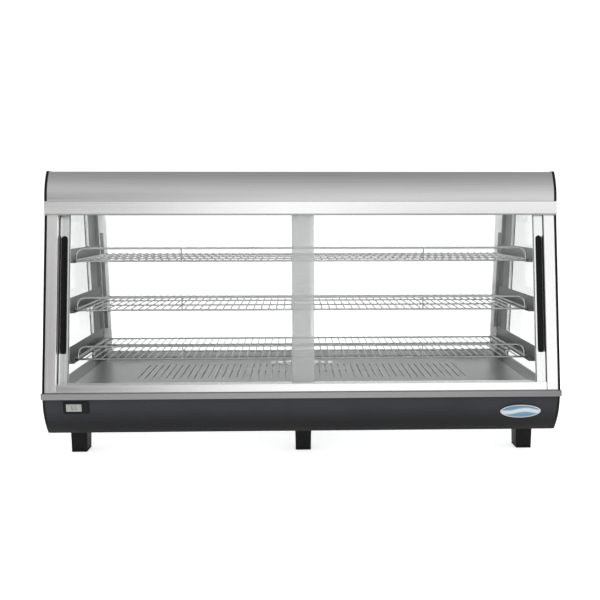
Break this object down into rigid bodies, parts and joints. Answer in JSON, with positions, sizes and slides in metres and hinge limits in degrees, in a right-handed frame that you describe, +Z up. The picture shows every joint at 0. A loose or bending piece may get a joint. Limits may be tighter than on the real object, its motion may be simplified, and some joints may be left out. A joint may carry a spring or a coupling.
{
  "type": "food holding cabinet",
  "caption": "Countertop heated glass cabinet with slanted sliding doors front and rear, wire shelves on ledges, slotted heated deck, curved metal hood and a curved base on feet.",
  "frame": {"origin": "on the table, under the middle of the cabinet", "axes": "+Z up, +X to the right seen from the front, +Y towards the rear (control side)"},
  "size_m": [1.2, 0.568, 0.681],
  "materials": {
    "foot": "moulded black",
    "galvanised": "plain zinc coated sheet",
    "charcoal": "satin charcoal powder coat",
    "black": "semi gloss black",
    "rim": "brushed along its length",
    "deck": "satin stainless",
    "heater": "heat darkened sheath",
    "lcd": "grey display window",
    "badge": "domed plate, blue field with a pale rim",
    "post": "bright stainless",
    "glass": "clear tempered",
    "stile": "satin anodised",
    "handle": "black moulded grip",
    "strip": "translucent sealing strip",
    "track": "bright extrusion",
    "bracket": "grey stainless",
    "chrome": "bright plated wire",
    "band": "bright brushed",
    "ceiling": "reflective",
    "diffuser": "opal lamp cover",
    "hood": "brushed along its length"
  },
  "bodies": {
    "cabinet": {"foot_front_left": "foot", "foot_rear_left": "foot", "foot_front_middle": "foot", "foot_rear_middle": "foot", "foot_front_right": "foot", "foot_rear_right": "foot", "base_pan": "galvanised", "heater_tray": "galvanised", "thermostat_body": "galvanised", "lamp_housing": "galvanised", "base_front_panel": "charcoal", "base_rear_panel": "charcoal", "base_end_left": "black", "base_end_right": "black", "hood_end_left": "black", "hood_end_right": "black", "thermometer_bezel": "black", "cable_gland": "black", "base_rim": "rim", "control_plate": "rim", "deck_plate": "deck", "heater_element": "heater", "thermometer_display": "lcd", "badge_plate": "badge", "post_front_left": "post", "post_front_right": "post", "post_rear_left": "post", "post_rear_right": "post", "side_glass_left": "glass", "side_glass_right": "glass", "track_lower_front": "track", "track_lower_rear": "track", "track_upper_front": "track", "track_upper_rear": "track", "shelf_rack_left": "bracket", "shelf_rack_right": "bracket", "top_band": "band", "ceiling_panel": "ceiling", "lamp_diffuser": "diffuser", "hood_shell": "hood"},
    "door_front_left": {"door_glass_front_left": "glass", "door_stile_front_left": "stile", "door_handle_front_left": "handle"},
    "door_front_right": {"door_glass_front_right": "glass", "door_stile_front_right": "stile", "door_handle_front_right": "handle", "door_strip_front_right": "strip"},
    "door_rear_left": {"door_glass_rear_left": "glass", "door_stile_rear_left": "stile", "door_handle_rear_left": "handle", "door_strip_rear_left": "strip"},
    "door_rear_right": {"door_glass_rear_right": "glass", "door_stile_rear_right": "stile", "door_handle_rear_right": "handle"},
    "shelf_low_body": {"shelf_low": "chrome"},
    "shelf_middle_body": {"shelf_middle": "chrome"},
    "shelf_top_body": {"shelf_top": "chrome"},
    "power_rocker": {"power_switch": "black"},
    "light_rocker": {"light_switch": "black"},
    "thermostat_dial": {"thermostat_knob": "black"}
  },
  "joints": [
    {"name": "door_front_left_slide", "type": "slide", "parent": "cabinet", "child": "door_front_left", "axis": [1, 0, 0], "range_m": [0, 0.52]},
    {"name": "door_front_right_slide", "type": "slide", "parent": "cabinet", "child": "door_front_right", "axis": [1, 0, 0], "range_m": [-0.52, 0]},
    {"name": "door_rear_left_slide", "type": "slide", "parent": "cabinet", "child": "door_rear_left", "axis": [1, 0, 0], "range_m": [0, 0.52]},
    {"name": "door_rear_right_slide", "type": "slide", "parent": "cabinet", "child": "door_rear_right", "axis": [1, 0, 0], "range_m": [-0.52, 0]},
    {"name": "shelf_low_lift", "type": "slide", "parent": "cabinet", "child": "shelf_low_body", "axis": [0, 0, 1], "range_m": [0, 0.03]},
    {"name": "shelf_middle_lift", "type": "slide", "parent": "cabinet", "child": "shelf_middle_body", "axis": [0, 0, 1], "range_m": [0, 0.03]},
    {"name": "shelf_top_lift", "type": "slide", "parent": "cabinet", "child": "shelf_top_body", "axis": [0, 0, 1], "range_m": [0, 0.03]},
    {"name": "power_switch_rock", "type": "hinge", "parent": "cabinet", "child": "power_rocker", "pos_m": [0.36, 0.262, 0.114], "axis": [1, 0, 0], "range_deg": [0, 18]},
    {"name": "light_switch_rock", "type": "hinge", "parent": "cabinet", "child": "light_rocker", "pos_m": [0.395, 0.262, 0.114], "axis": [1, 0, 0], "range_deg": [0, 18]},
    {"name": "thermostat_turn", "type": "hinge", "parent": "cabinet", "child": "thermostat_dial", "pos_m": [0.45, 0.262, 0.114], "axis": [0, -1, 0], "range_deg": [0, 270]}
  ]
}
